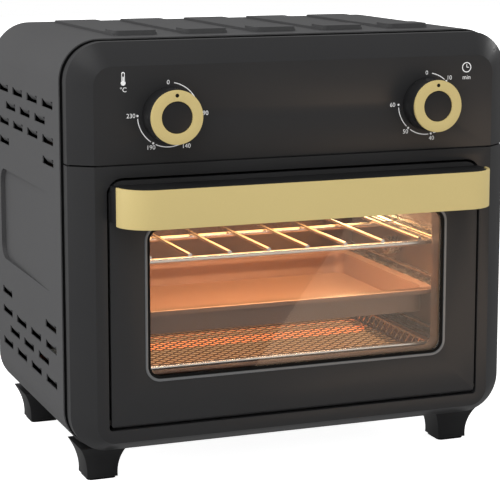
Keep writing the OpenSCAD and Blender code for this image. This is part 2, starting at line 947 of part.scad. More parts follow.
// The door's outline, drawn in by some distance.
module door_outline(inset) {
    rounded([-door_w / 2 + inset, door_z + inset], [door_w / 2 - inset, door_top - inset],
        max(door_corner - inset, 0.5), max(door_r - inset, 1));
}

// The window's outline, drawn in by some distance from the outside of the trim.
module window_outline(inset) {
    rounded([-window_w / 2 + inset, window_z + inset], [window_w / 2 - inset, window_z + window_h - inset],
        window_r - inset, window_r - inset);
}

module door_panel() {
    back = door_t - liner_t - seat_gap;
    boss_x = door_w / 2 - pin_in - 2;
    color("#303030") difference() {
        union() {
            difference() {
                upright(0, back) door_outline(0);
                upright(door_wall, back) door_outline(door_wall);
            }
            both_sides() block([boss_x, 1, door_z + 1], [door_w / 2 - 1, hinge_g + 5, hinge_z + 5]);
            upright(1, glass_g + glass_t - 1) difference() {
                window_outline(-4);
                window_outline(trim_w / 2);
            }
        }
        upright(-1, door_t) window_outline(trim_w / 2);
        sideways(-door_w, 2 * door_w) polygon([[-1, door_z - 1], [door_edge + 1, door_z - 1],
            [-1, door_z + door_edge + 1]]);
        both_sides() bar_x(boss_x - 1, hinge_g, hinge_z, pin_r + run_fit / 2, pin_in + 4);
        for (x = [-handle_screw_x, handle_screw_x]) for (z = handle_screw_z)
            bar_y(x, -1, z, screw_r + 0.2, door_wall + 2);
    }
}

// The bright ring: a flat flange on the panel's face and a neck into its window opening.
module window_trim() {
    color("#9a9fa2") union() {
        upright(-trim_front, trim_front) difference() {
            window_outline(0);
            window_outline(trim_w);
        }
        upright(-e, glass_g + glass_t) difference() {
            window_outline(trim_w / 2 + run_fit);
            window_outline(trim_w);
        }
    }
}

module window_gasket() {
    color("#101010") difference() {
        upright(0.2, glass_g + glass_t + 1) window_outline(trim_w + run_fit);
        upright(-1, glass_g + glass_t + 4) window_outline(trim_w + gasket_w);
        upright(glass_g - run_fit, glass_t + 2 * run_fit) window_outline(trim_w + 1.2);
    }
}

module door_glass() {
    color("#c8c2b8", 0.35) upright(glass_g, glass_t) window_outline(trim_w + 1.25);
}

module door_liner() {
    color("#6f7172") difference() {
        union() {
            upright(door_t - liner_t, liner_t) door_outline(0.6);
            upright(glass_g + glass_t + 1.6, door_t - liner_t - glass_g - glass_t - 1.6 + e) difference() {
                window_outline(trim_w + gasket_w - 1);
                window_outline(trim_w + gasket_w);
            }
        }
        upright(door_t - liner_t - 1, liner_t + 2) window_outline(trim_w + gasket_w);
    }
}

module door_seal() {
    low = [-cavity_x - 1.5 - seal_w, floor_z - 1.5 - seal_w];
    high = [cavity_x + 1.5 + seal_w, mouth_z + 1 + seal_w];
    color("#4a4a4a") upright(door_t, seal_t) difference() {
        rounded(low, high, 5, 8);
        rounded([low[0] + seal_w, low[1] + seal_w], [high[0] - seal_w, high[1] - seal_w], 2, 4);
    }
}

// ---------------------------------------------------------------- handle

handle_screw_z = [band_low + 9, band_top - 12];

// The handle's plan, drawn in by some distance and closed at the front face of the door.
module handle_plan(inset) {
    x = handle_w / 2 - inset;
    r = handle_r - inset;
    out = handle_out - inset;
    intersection() {
        union() {
            translate([-x, -out + r]) square([2 * x, out - r]);
            translate([-x + r, -out]) square([2 * (x - r), r + e]);
            for (cx = [-x + r, x - r]) translate([cx, -out + r]) circle(r);
        }
        translate([-x, -out]) square([2 * x, out]);
    }
}

module handle_body() {
    low = band_low + 1.5;
    top = band_top - plate_set;
    color("#1e1e1e") difference() {
        union() {
            level(low, top - low) union() {
                handle_plan(band_t + run_fit);
                intersection() {
                    handle_plan(0);
                    translate([-handle_w, -band_stop + run_fit]) square([2 * handle_w, band_stop]);
                }
            }
        }
        level(low - 1, top - low + 1 - plate_t) difference() {
            handle_plan(band_t + rim_t);
            for (x = [-handle_screw_x, handle_screw_x])
                translate([x - handle_boss / 2, -handle_boss]) square([handle_boss, handle_boss + 1]);
        }
        for (x = [-handle_screw_x, handle_screw_x]) for (z = handle_screw_z)
            bar_y(x, -handle_boss + 2, z, screw_r, handle_boss);
    }
}

module handle_band() {
    color("#c8b47a") level(band_low, handle_h) difference() {
        handle_plan(0);
        handle_plan(band_t);
        translate([-handle_w, -band_stop]) square([2 * handle_w, band_stop + 1]);
    }
}

module handle_screws() {
    color("#8a8a8c") for (x = [-handle_screw_x, handle_screw_x]) for (z = handle_screw_z) union() {
        bar_y(x, door_wall, z, 3.8, 2.4);
        bar_y(x, -handle_boss + 4, z, screw_r - run_fit, handle_boss - 4 + door_wall + e);
    }
}

module hinge_pins() {
    color("#c0c2c4") both_sides()
        bar_x(door_w / 2 - pin_in, hinge_g, hinge_z, pin_r, pin_in + door_gap + pin_out - 1);
}

// ---------------------------------------------------------------- knobs

// A knob: a round cup over the shaft with a raised disc in its face.
module knob(x) {
    face = -knob_out + ring_t;
    color("#1a1a1a") difference() {
        union() {
            bar_y(x, face, knob_z, knob_r, -knob_lift - face);
            bar_y(x, -knob_out + 0.4, knob_z, ring_r - 0.1, ring_t);
        }
        bar_y(x, face + 4, knob_z, knob_r - 2.2, knob_out);
        bar_y(x, -shaft_tip - 0.5, knob_z, shaft_r + run_fit, knob_out);
    }
    color("#1a1a1a") difference() {
        bar_y(x, face + 3, knob_z, shaft_r + 3, -knob_lift - face - 3);
        bar_y(x, -shaft_tip - 0.5, knob_z, shaft_r + run_fit, knob_out);
    }
}

// The flat ring on a knob's face, with the round mark that points to the scale.
module knob_ring(x) {
    color("#c8b47a") difference() {
        bar_y(x, -knob_out, knob_z, knob_r - 0.3, ring_t);
        bar_y(x, -knob_out - 1, knob_z, ring_r, ring_t + 2);
        bar_y(x, -knob_out - 1, knob_z + (knob_r + ring_r) / 2, dot_r, 1.8);
    }
}

module temp_knob() {
    knob(-knob_x);
}

module temp_knob_ring() {
    knob_ring(-knob_x);
}

module time_knob() {
    knob(knob_x);
}

module time_knob_ring() {
    knob_ring(knob_x);
}

// ---------------------------------------------------------------- shelves

// A flat closed wire loop with rounded corners, centred on height z.
module wire_loop(half_w, near, far, z, r) {
    for (g = [near, far]) bar_x(-half_w + bend_r, g, z, r, 2 * (half_w - bend_r));
    for (x = [-half_w, half_w]) bar_y(x, near + bend_r, z, r, far - near - 2 * bend_r);
    for (corner = [[half_w, far, 0], [-half_w, far, 90], [-half_w, near, 180], [half_w, near, 270]])
        translate([corner[0] - sign(corner[0]) * bend_r,
            front_y + corner[1] + (corner[1] == far ? -bend_r : bend_r), z])
            rotate([0, 0, corner[2]])
                rotate_extrude(angle = 90) translate([bend_r, 0]) circle(r);
}

module wire_rack() {
    half_w = rack_w / 2 - wire_r;
    z = z0 + rack_up;
    near = shelf_g;
    far = shelf_g + shelf_d - 2 * wire_r;
    step = 2 * half_w / (rack_bars + 0.3);
    color("#c3c5c6") union() {
        wire_loop(half_w, near, far, z, wire_r);
        bar_x(-half_w, (near + far) / 2, z, wire_r, 2 * half_w);
        for (i = [0 : rack_bars - 1])
            bar_y((i - (rack_bars - 1) / 2) * step, near - 1, z + wire_r + bar_r - 0.5, bar_r, far - near + 2);
    }
}

// The outline of a pan in plan, drawn in by some distance.
module pan_plan(half_w, near, far, r, inset) {
    rounded([-half_w + inset, near + inset], [half_w - inset, far - inset], r, r);
}

module baking_tray() {
    half_w = tray_w / 2;
    near = shelf_g - wire_r;
    far = near + shelf_d;
    top = z0 + tray_up;
    color("#5f6062") difference() {
        union() {
            level(top - tray_rim, tray_rim) pan_plan(half_w, near, far, 12, 0);
            level(top - tray_deep, tray_deep) pan_plan(half_w, near, far, 11, tray_lip);
        }
        level(top - tray_deep + tray_t, tray_deep) pan_plan(half_w, near, far, 10.2, tray_lip + tray_t);
        level(top - tray_rim - 1, tray_rim + 1 - tray_t) difference() {
            pan_plan(half_w, near, far, 11.2, tray_t);
            pan_plan(half_w, near, far, 11, tray_lip);
        }
    }
}

module basket_frame() {
    half_w = basket_w / 2 - wire_r;
    z = z0 + basket_up;
    far = shelf_g + shelf_d - 2 * wire_r;
    color("#c3c5c6") wire_loop(half_w, shelf_g, far, z, wire_r);
}

// The mesh pan that hangs inside the basket's frame.
module basket_mesh() {
    half_w = basket_w / 2 - 2 * wire_r;
    near = shelf_g + wire_r;
    far = shelf_g + shelf_d - 3 * wire_r;
    low = z0 + basket_up - basket_deep;
    top = z0 + basket_up + 1;
    color("#a9abac") difference() {
        union() {
            level(low, top - low) pan_plan(half_w, near, far, 6, 0);
        }
        level(low + basket_t, top - low) pan_plan(half_w, near, far, 5, basket_t);
    }
}

module crumb_tray() {
    x = cavity_x - 5;
    near = frame_back + 6;
    low = floor_z + 0.1;
    color("#8d8f90") difference() {
        block([-x, near, low], [x, body_d + crumb_grip, low + crumb_h]);
        block([-x + crumb_t, near + crumb_t, low + crumb_t], [x - crumb_t, cavity_back_g - 1, low + crumb_h + 1]);
        block([-x - 1, cavity_back_g, low + crumb_t + 1], [x + 1, body_d + 1, low + crumb_h + 1]);
        block([-x - 1, body_d + 3, low + 1.8], [x + 1, body_d + crumb_grip + 1, low + crumb_h + 1]);
    }
}

control_panel();
door_surround();
front_frame();
outer_housing();
base_plate();
rear_cover();
rear_spacers();
cord_gland();
cover_screws();
cavity_left_wall();
cavity_right_wall();
cavity_roof();
cavity_back();
cavity_floor();
shelf_guides_left();
shelf_guides_right();
upper_heating_rods();
lower_heating_rods();
rod_insulators();
fan_impeller();
fan_motor();
fan_grille();
lamp_bulb();
lamp_holder();
lamp_cover();
thermostat();
timer();
thermostat_shaft();
timer_shaft();
thermal_cutoff();
terminal_block();
spit_motor();
spit_drive_socket();
spit_bracket();
foot_front_left();
foot_front_right();
foot_rear_left();
foot_rear_right();
foot_pads();
foot_screws();
door_panel();
window_trim();
window_gasket();
door_glass();
door_liner();
door_seal();
handle_body();
handle_band();
handle_screws();
hinge_pins();
temp_knob();
temp_knob_ring();
time_knob();
time_knob_ring();
wire_rack();
baking_tray();
basket_frame();
basket_mesh();
crumb_tray();
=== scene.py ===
"""Looks of a countertop oven with a drop-down glass door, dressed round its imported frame."""
from __future__ import annotations

import json
import logging
import math
from dataclasses import dataclass
from enum import Enum
from functools import lru_cache

import bmesh
import bpy
from mathutils import Matrix, Vector


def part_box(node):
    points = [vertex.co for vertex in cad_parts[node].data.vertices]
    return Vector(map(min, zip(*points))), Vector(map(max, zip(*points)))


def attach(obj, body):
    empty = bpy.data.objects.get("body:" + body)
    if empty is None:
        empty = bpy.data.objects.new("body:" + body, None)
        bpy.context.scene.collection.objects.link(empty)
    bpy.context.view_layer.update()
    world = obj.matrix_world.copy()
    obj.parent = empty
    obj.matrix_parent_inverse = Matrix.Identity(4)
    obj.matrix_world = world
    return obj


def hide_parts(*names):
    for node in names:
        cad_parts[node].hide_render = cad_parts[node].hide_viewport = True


log = logging.getLogger("oven")
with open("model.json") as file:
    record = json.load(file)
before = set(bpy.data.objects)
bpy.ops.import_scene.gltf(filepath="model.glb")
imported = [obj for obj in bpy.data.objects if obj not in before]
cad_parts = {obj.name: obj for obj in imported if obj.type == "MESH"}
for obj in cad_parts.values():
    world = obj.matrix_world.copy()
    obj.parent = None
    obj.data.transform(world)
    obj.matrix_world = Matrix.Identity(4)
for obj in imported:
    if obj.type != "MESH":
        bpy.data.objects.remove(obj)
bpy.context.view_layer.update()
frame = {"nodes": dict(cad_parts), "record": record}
MM = 0.001


# ------------------------------------------------------------------ shared shader groups

class Group:
    """A shader node group under construction."""

    def __init__(self, name: str, inputs: dict[str, object], outputs: tuple[str, ...]) -> None:
        """Make the tree and its sockets.

        Args:
            name: The group's name.
            inputs: Default value by input name; a tuple of four is a colour, of three a vector.
            outputs: Names of the outputs; Colour is a colour and the others are values.
        """
        self.tree = bpy.data.node_groups.new(name, "ShaderNodeTree")
        for label, value in inputs.items():
            if isinstance(value, float):
                kind = "NodeSocketFloat"
            else:
                kind = "NodeSocketColor" if len(value) == 4 else "NodeSocketVector"
            socket = self.tree.interface.new_socket(label, in_out="INPUT", socket_type=kind)
            socket.default_value = value
        for label in outputs:
            kind = "NodeSocketColor" if label == "Colour" else "NodeSocketFloat"
            self.tree.interface.new_socket(label, in_out="OUTPUT", socket_type=kind)
        self.given = self.tree.nodes.new("NodeGroupInput").outputs
        self.result = self.tree.nodes.new("NodeGroupOutput").inputs
        self.place = self.add("ShaderNodeTexCoord").outputs["Object"]

    def add(self, kind: str, **settings: object) -> bpy.types.Node:
        """Add a node and set its properties.

        Args:
            kind: The node's type name.
            **settings: Properties to set on it.

        Returns:
            The new node.
        """
        node = self.tree.nodes.new(kind)
        for key, value in settings.items():
            setattr(node, key, value)
        return node

    def feed(self, socket: bpy.types.NodeSocket, value: object) -> None:
        """Link an output into a socket, or set the socket's value.

        Args:
            socket: The socket that is fed.
            value: An output socket, or a plain value.
        """
        if isinstance(value, bpy.types.NodeSocket):
            self.tree.links.new(value, socket)
        else:
            socket.default_value = value

    def calc(self, operation: str, *values: object, **settings: object) -> bpy.types.NodeSocket:
        """Add a maths node.

        Args:
            operation: The operation's name.
            *values: Its operands, each an output socket or a number.
            **settings: Properties to set on the node.

        Returns:
            The node's output.
        """
        node = self.add("ShaderNodeMath", operation=operation, **settings)
        for socket, value in zip(node.inputs, values):
            self.feed(socket, value)
        return node.outputs[0]

    def noise(self, vector: bpy.types.NodeSocket, scale: object,
              detail: float) -> bpy.types.NodeSocket:
        """Add a noise texture.

        Args:
            vector: The coordinates that it is read at.
            scale: Its scale, an output socket or a number.
            detail: Its number of octaves.

        Returns:
            The noise's value.
        """
        node = self.add("ShaderNodeTexNoise")
        node.inputs["Detail"].default_value = detail
        self.feed(node.inputs["Vector"], vector)
        self.feed(node.inputs["Scale"], scale)
        return node.outputs["Fac"]

    def tone(self, colour: bpy.types.NodeSocket, factor: bpy.types.NodeSocket,
             operation: str = "SCALE") -> bpy.types.NodeSocket:
        """Scale a colour or a vector.

        Args:
            colour: The colour or the vector.
            factor: What it is multiplied by.
            operation: SCALE by a value, or MULTIPLY by another vector.

        Returns:
            The scaled result.
        """
        node = self.add("ShaderNodeVectorMath", operation=operation)
        self.feed(node.inputs[0], colour)
        self.feed(node.inputs["Scale" if operation == "SCALE" else 1], factor)
        return node.outputs[0]


@lru_cache(maxsize=None)
def surface_grain() -> bpy.types.NodeTree:
    """Fine grain and broad shading drift for moulded, coated and brushed surfaces.

    Returns:
        The node group. Stretch draws the grain out along an axis, as brushing does.
    """
    g = Group("surface_grain",
              {"Colour": (0.5, 0.5, 0.5, 1.0), "Rough": 0.5, "Scale": 900.0, "Spread": 0.08,
               "Drift": 0.06, "Stretch": (1.0, 1.0, 1.0)}, ("Colour", "Rough", "Height"))
    fine = g.noise(g.tone(g.place, g.given["Stretch"], "MULTIPLY"), g.given["Scale"], 3.0)
    broad = g.noise(g.place, 9.0, 2.0)
    both = g.calc("ADD",
                  g.calc("MULTIPLY", g.calc("SUBTRACT", fine, 0.5), g.given["Spread"]),
                  g.calc("MULTIPLY", g.calc("SUBTRACT", broad, 0.5), g.given["Drift"]))
    g.feed(g.result["Colour"], g.tone(g.given["Colour"], g.calc("MULTIPLY_ADD", both, 2.0, 1.0)))
    g.feed(g.result["Rough"], g.calc("ADD", g.given["Rough"], both, use_clamp=True))
    g.feed(g.result["Height"], fine)
    return g.tree


@lru_cache(maxsize=None)
def heat_stain() -> bpy.types.NodeTree:
    """Brown baked-on staining in soft patches, heavier where its noise peaks.

    Returns:
        The node group, with the stained colour as its output.
    """
    g = Group("heat_stain",
              {"Colour": (0.5, 0.5, 0.5, 1.0), "Stain": (0.2, 0.12, 0.06, 1.0), "Amount": 0.4,
               "Scale": 22.0}, ("Colour",))
    edge = g.add("ShaderNodeMapRange", interpolation_type="SMOOTHSTEP")
    g.feed(edge.inputs["From Min"], 0.4)
    g.feed(edge.inputs["From Max"], 0.75)
    g.feed(edge.inputs["Value"], g.noise(g.place, g.given["Scale"], 6.0))
    mix = g.add("ShaderNodeMix", data_type="RGBA")
    g.feed(mix.inputs["Factor"], g.calc("MULTIPLY", edge.outputs[0], g.given["Amount"]))
    g.feed(mix.inputs[6], g.given["Colour"])
    g.feed(mix.inputs[7], g.given["Stain"])
    g.feed(g.result["Colour"], mix.outputs[2])
    return g.tree


@lru_cache(maxsize=None)
def hot_stretch() -> bpy.types.NodeTree:
    """The glow of a heating rod, which is hot inside the oven space and cold at its ends.

    Returns:
        The node group, with the glow's colour as its output.
    """
    g = Group("hot_stretch", {"Colour": (1.0, 0.3, 0.1, 1.0), "Reach": 0.14}, ("Colour",))
    axes = g.add("ShaderNodeSeparateXYZ")
    g.feed(axes.inputs[0], g.place)
    inside = g.calc("LESS_THAN", g.calc("ABSOLUTE", axes.outputs["X"]), g.given["Reach"])
    g.feed(g.result["Colour"], g.tone(g.given["Colour"], inside))
    return g.tree


def linear(shade: tuple[float, float, float]) -> tuple[float, float, float, float]:
    """Turn a display colour into a linear one.

    Args:
        shade: Display values from 0 to 255.

    Returns:
        The linear colour with an alpha of 1.
    """
    def one(value: float) -> float:
        """Turn one display value into a linear one.

        Args:
            value: The display value, from 0 to 255.

        Returns:
            The linear value.
        """
        value /= 255.0
        return value / 12.92 if value <= 0.04045 else ((value + 0.055) / 1.055) ** 2.4
    return (*(one(value) for value in shade), 1.0)


@dataclass(frozen=True)
class Paint:
    """What every finish needs: its name and a new material with its groups.

    Attributes:
        name: The finish's name.
    """

    name: str

    def start(self) -> tuple[bpy.types.Material, bpy.types.Node]:
        """Make the material.

        Returns:
            The material and its surface node.
        """
        made = bpy.data.materials.new(f"{self.name}_finish")
        made.use_nodes = True
        return made, made.node_tree.nodes["Principled BSDF"]

    def material(self) -> bpy.types.Material:
        """Return the finish's material, and build it the first time.

        Returns:
            The material.
        """
        return bpy.data.materials.get(f"{self.name}_finish") or self.mix()

    def mix(self) -> bpy.types.Material:
        """Build the material.

        Returns:
            The new material.
        """
        return self.start()[0]


def group_node(tree: bpy.types.NodeTree, group: bpy.types.NodeTree,
               **values: object) -> bpy.types.Node:
    """Use a shared group in a material.

    Args:
        tree: The material's tree.
        group: The shared group.
        **values: Value by input name.

    Returns:
        The group's node.
    """
    node = tree.nodes.new("ShaderNodeGroup")
    node.node_tree = group
    for label, value in values.items():
        node.inputs[label].default_value = value
    return node


# ------------------------------------------------------------------ finishes

@dataclass(frozen=True)
class Finish(Paint):
    """An opaque surface: its colour, gloss and grain.

    Attributes:
        shade: Display colour, 0 to 255.
        rough: Roughness.
        metal: Metallic value.
        gloss: Specular level of a surface that isn't metal.
        coat: Weight of a clear coat.
        scale: Grain scale, per metre.
        depth: Height of the grain in metres.
        spread: Variation of tone in the grain.
        drift: Broad variation of tone.
        stretch: Factors that draw the grain out.
        stain: How much baked-on brown it carries.
        glow: Emission strength.
        glow_shade: Emission colour, 0 to 255.
    """

    shade: tuple[float, float, float]
    rough: float = 0.5
    metal: float = 0.0
    gloss: float = 0.5
    coat: float = 0.0
    scale: float = 1400.0
    depth: float = 0.00002
    spread: float = 0.08
    drift: float = 0.06
    stretch: tuple[float, float, float] = (1.0, 1.0, 1.0)
    stain: float = 0.0
    glow: float = 0.0
    glow_shade: tuple[float, float, float] = (255.0, 120.0, 40.0)

    def mix(self) -> bpy.types.Material:
        """Build the material.

        Returns:
            The new material.
        """
        made, surface = self.start()
        tree = made.node_tree
        grain = group_node(tree, surface_grain(), Colour=linear(self.shade), Rough=self.rough,
                           Scale=self.scale, Spread=self.spread, Drift=self.drift,
                           Stretch=self.stretch)
        colour = grain.outputs["Colour"]
        if self.stain:
            baked = group_node(tree, heat_stain(), Amount=self.stain)
            tree.links.new(colour, baked.inputs["Colour"])
            colour = baked.outputs["Colour"]
        bump = tree.nodes.new("ShaderNodeBump")
        bump.inputs["Distance"].default_value = self.depth
        bump.inputs["Strength"].default_value = 0.6
        tree.links.new(grain.outputs["Height"], bump.inputs["Height"])
        tree.links.new(colour, surface.inputs["Base Color"])
        tree.links.new(grain.outputs["Rough"], surface.inputs["Roughness"])
        tree.links.new(bump.outputs["Normal"], surface.inputs["Normal"])
        surface.inputs["Metallic"].default_value = self.metal
        surface.inputs["Specular IOR Level"].default_value = self.gloss
        surface.inputs["Coat Weight"].default_value = self.coat
        surface.inputs["Coat Roughness"].default_value = 0.2
        if self.glow:
            hot = group_node(tree, hot_stretch(), Colour=linear(self.glow_shade))
            tree.links.new(hot.outputs["Colour"], surface.inputs["Emission Color"])
            surface.inputs["Emission Strength"].default_value = self.glow
        return made


@dataclass(frozen=True)
class ClearFinish(Paint):
    """A glass with faint smears.

    Attributes:
        shade: Display colour of the glass.
        rough: Roughness.
        glow: Emission strength, for a lit bulb.
        glow_shade: Emission colour, 0 to 255.
    """

    shade: tuple[float, float, float]
    rough: float = 0.02
    glow: float = 0.0
    glow_shade: tuple[float, float, float] = (255.0, 214.0, 150.0)

    def mix(self) -> bpy.types.Material:
        """Build the material.

        Returns:
            The new material.
        """
        made, surface = self.start()
        tree = made.node_tree
        smear = group_node(tree, surface_grain(), Colour=linear(self.shade), Rough=self.rough,
                           Scale=40.0, Spread=0.02, Drift=0.02)
        tree.links.new(smear.outputs["Colour"], surface.inputs["Base Color"])
        tree.links.new(smear.outputs["Rough"], surface.inputs["Roughness"])
        surface.inputs["Transmission Weight"].default_value = 1.0
        surface.inputs["IOR"].default_value = 1.45
        if self.glow:
            surface.inputs["Emission Color"].default_value = linear(self.glow_shade)
            surface.inputs["Emission Strength"].default_value = self.glow
        return made


class Look(Enum):
    """The oven's finishes, named as the record's material slots."""

    bezel_plastic = Finish("bezel_plastic", (50, 50, 51), rough=0.42, gloss=0.3, coat=0.1,
                           depth=0.000015)
    housing_coat = Finish("housing_coat", (80, 80, 81), rough=0.55, gloss=0.4, scale=1100.0,
                          depth=0.00003, spread=0.12)
    frame_coat = Finish("frame_coat", (22, 22, 23), rough=0.6, gloss=0.3)
    black_plastic = Finish("black_plastic", (40, 40, 41), rough=0.45, gloss=0.3)
    rubber = Finish("rubber", (16, 16, 16), rough=0.7, gloss=0.3)
    liner_steel = Finish("liner_steel", (84, 66, 54), rough=0.4, metal=0.6, scale=500.0,
                         stretch=(1.0, 0.06, 1.0), spread=0.12, stain=0.35)
    bright_steel = Finish("bright_steel", (196, 192, 188), rough=0.28, metal=1.0, scale=700.0,
                          stretch=(1.0, 0.08, 1.0), stain=0.15)
    rod_sheath = Finish("rod_sheath", (120, 60, 36), rough=0.5, metal=0.4, scale=600.0, glow=1.4,
                        glow_shade=(255.0, 104.0, 34.0))
    ceramic = Finish("ceramic", (226, 222, 212), rough=0.6)
    motor_steel = Finish("motor_steel", (132, 133, 134), rough=0.4, metal=0.9)
    cutoff_brass = Finish("cutoff_brass", (196, 166, 104), rough=0.35, metal=1.0)
    screw_steel = Finish("screw_steel", (142, 142, 144), rough=0.35, metal=1.0)
    door_coat = Finish("door_coat", (50, 50, 51), rough=0.42, gloss=0.3, coat=0.1, depth=0.000015)
    trim_steel = Finish("trim_steel", (128, 130, 132), rough=0.4, metal=0.4, scale=600.0)
    satin_gold = Finish("satin_gold", (206, 186, 126), rough=0.5, metal=0.0, gloss=0.2,
                        scale=1600.0, spread=0.05, drift=0.03, depth=0.00001)
    wire_chrome = Finish("wire_chrome", (214, 208, 200), rough=0.22, metal=1.0, scale=500.0,
                         stain=0.1)
    tray_coat = Finish("tray_coat", (138, 104, 82), rough=0.45, metal=0.2, stain=0.25)
    lamp_glass = ClearFinish("lamp_glass", (250, 246, 236), glow=3.0)
    window_glass = ClearFinish("window_glass", (244, 244, 243))
    dial_print = Finish("dial_print", (255, 255, 255), rough=0.5, scale=2400.0, spread=0.04)

    def on(self, piece: bpy.types.Object) -> None:
        """Give a piece this finish in place of what it had.

        Args:
            piece: The piece that is painted.
        """
        piece.data.materials.clear()
        piece.data.materials.append(self.value.material())


# ------------------------------------------------------------------ mesh helpers

def new_piece(name: str, shape: bmesh.types.BMesh, look: Look, body: str) -> bpy.types.Object:
    """Turn a finished bmesh into a piece that rides on a body.

    Args:
        name: The piece's name.
        shape: The mesh under construction, freed here.
        look: Its finish.
        body: The body that it moves with.

    Returns:
        The new object.
    """
    mesh = bpy.data.meshes.new(name)
    shape.to_mesh(mesh)
    shape.free()
    piece = bpy.data.objects.new(name, mesh)
    bpy.context.scene.collection.objects.link(piece)
    look.on(piece)
    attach(piece, body)
    log.info("%s: %d faces on %s", name, len(mesh.polygons), body)
    return piece


def smooth_by_angle(mesh: bpy.types.Mesh, degrees: float = 32.0) -> None:
    """Shade a mesh smooth, save at the edges where its faces turn sharply.

    Args:
        mesh: The mesh.
        degrees: Edges that turn by more than this stay sharp.
    """
    mesh.shade_smooth()
    mesh.set_sharp_from_angle(angle=math.radians(degrees))


def softened(node: str, width: float, look: Look, body: str, segments: int = 3,
             turn: float = 34.0) -> bpy.types.Object:
    """Copy a CAD node with its sharp edges rounded, and let the copy stand for it.

    Args:
        node: The CAD node's name.
        width: Width of the rounding, in metres.
        look: Its finish.
        body: The body that it moves with.
        segments: Faces across the rounding.
        turn: Edges that turn by more than this many degrees are rounded.

    Returns:
        The new piece.
    """
    shape = bmesh.new()
    shape.from_mesh(frame["nodes"][node].data)
    bmesh.ops.remove_doubles(shape, verts=shape.verts, dist=2e-6)
    bmesh.ops.dissolve_limit(shape, angle_limit=math.radians(0.6), verts=shape.verts,
                             edges=shape.edges)
    sharp = [edge for edge in shape.edges
             if edge.is_manifold and edge.calc_face_angle(0.0) > math.radians(turn)]
    bmesh.ops.bevel(shape, geom=sharp, offset=width, offset_type="OFFSET", segments=segments,
                    profile=0.5, affect="EDGES", clamp_overlap=True, material=-1)
    bmesh.ops.triangulate(shape, faces=[f for f in shape.faces if len(f.verts) > 4])
    piece = new_piece(f"{node}_finished", shape, look, body)
    smooth_by_angle(piece.data)
    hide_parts(node)
    return piece


def rod(shape: bmesh.types.BMesh, start: Vector, end: Vector, radius: float,
        sides: int = 6) -> None:
    """Add a closed straight wire to a mesh.

    Args:
        shape: The mesh that takes it.
        start: One end's centre.
        end: The other end's centre.
        radius: The wire's radius.
        sides: Faces round it.
    """
    run = end - start
    place = Matrix.Translation((start + end) / 2) @ run.to_track_quat("Z", "Y").to_matrix().to_4x4()
    bmesh.ops.create_cone(shape, cap_ends=True, segments=sides, radius1=radius, radius2=radius,
                          depth=run.length, matrix=place)


# ------------------------------------------------------------------ sub-assemblies

